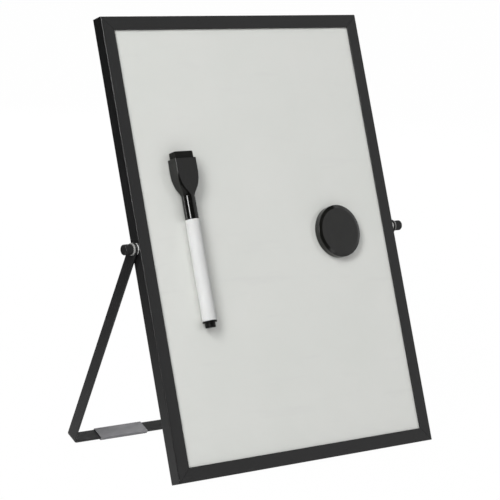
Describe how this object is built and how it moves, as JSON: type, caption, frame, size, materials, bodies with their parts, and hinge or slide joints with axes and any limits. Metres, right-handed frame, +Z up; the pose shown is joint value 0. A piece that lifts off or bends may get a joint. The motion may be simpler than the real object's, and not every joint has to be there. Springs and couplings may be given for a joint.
{
  "type": "desktop whiteboard",
  "caption": "Double-sided desktop whiteboard in a slotted frame, propped by a U-shaped bar stand that swings about thumb screws, with a capped marker and a round magnet on its face.",
  "frame": {"origin": "on the ground, under the middle of the standing board's bounding box", "axes": "+Z up, +X along the board's width to the right of someone who faces its front, -Y towards that person"},
  "size_m": [0.277, 0.1472, 0.3363],
  "materials": {
    "rail": "satin black",
    "key": "matte",
    "sheet": "smooth white lacquer",
    "core": "raw board",
    "steel": "plain",
    "washer": "off-white, matte",
    "knob": "black, knurled",
    "bar": "satin black",
    "sleeve": "grey, matte",
    "barrel": "white, glossy",
    "cap": "black, glossy",
    "felt": "black pressed felt",
    "fibre": "white bonded fibre",
    "plated_magnet": "bright plating",
    "ferrite": "dull dark grey ceramic"
  },
  "bodies": {
    "board": {"frame_bottom_rail": "rail", "frame_top_rail": "rail", "frame_left_rail": "rail", "frame_right_rail": "rail", "corner_key_bottom_left": "key", "corner_key_bottom_right": "key", "corner_key_top_right": "key", "corner_key_top_left": "key", "front_writing_sheet": "sheet", "rear_writing_sheet": "sheet", "panel_core": "core", "pivot_nut_left": "steel", "pivot_nut_right": "steel", "inner_washer_left": "washer", "inner_washer_right": "washer", "outer_washer_left": "washer", "outer_washer_right": "washer"},
    "stand": {"stand_bar": "bar", "grip_sleeve_left": "sleeve", "grip_sleeve_right": "sleeve"},
    "left_thumb_screw": {"thumb_knob_left": "knob", "knob_stud_left": "steel"},
    "right_thumb_screw": {"thumb_knob_right": "knob", "knob_stud_right": "steel"},
    "marker_cap_set": {"marker_cap": "cap", "eraser_felt": "felt", "cap_magnet": "plated_magnet"},
    "marker_pen": {"marker_barrel": "barrel", "marker_tail_plug": "cap", "ink_reservoir": "fibre", "writing_nib": "felt"},
    "round_magnet": {"magnet_case": "cap", "magnet_disc": "ferrite"}
  },
  "joints": [
    {"name": "stand_swing", "type": "hinge", "parent": "board", "child": "stand", "pos_m": [0, -0.00613, 0.16814], "axis": [1, 0, 0], "continuous": true},
    {"name": "left_screw_turn", "type": "hinge", "parent": "board", "child": "left_thumb_screw", "pos_m": [-0.127, -0.00613, 0.16814], "axis": [-1, 0, 0], "range_deg": [0, 360]},
    {"name": "right_screw_turn", "type": "hinge", "parent": "board", "child": "right_thumb_screw", "pos_m": [0.127, -0.00613, 0.16814], "axis": [1, 0, 0], "range_deg": [0, 360]},
    {"name": "marker_lift", "type": "slide", "parent": "board", "child": "marker_cap_set", "axis": [0, -0.9361, 0.3518], "range_m": [0, 0.06]},
    {"name": "pen_pull", "type": "slide", "parent": "marker_cap_set", "child": "marker_pen", "axis": [0, -0.3518, -0.9361], "range_m": [0, 0.04]},
    {"name": "magnet_lift", "type": "slide", "parent": "board", "child": "round_magnet", "axis": [0, -0.9361, 0.3518], "range_m": [0, 0.05]}
  ]
}
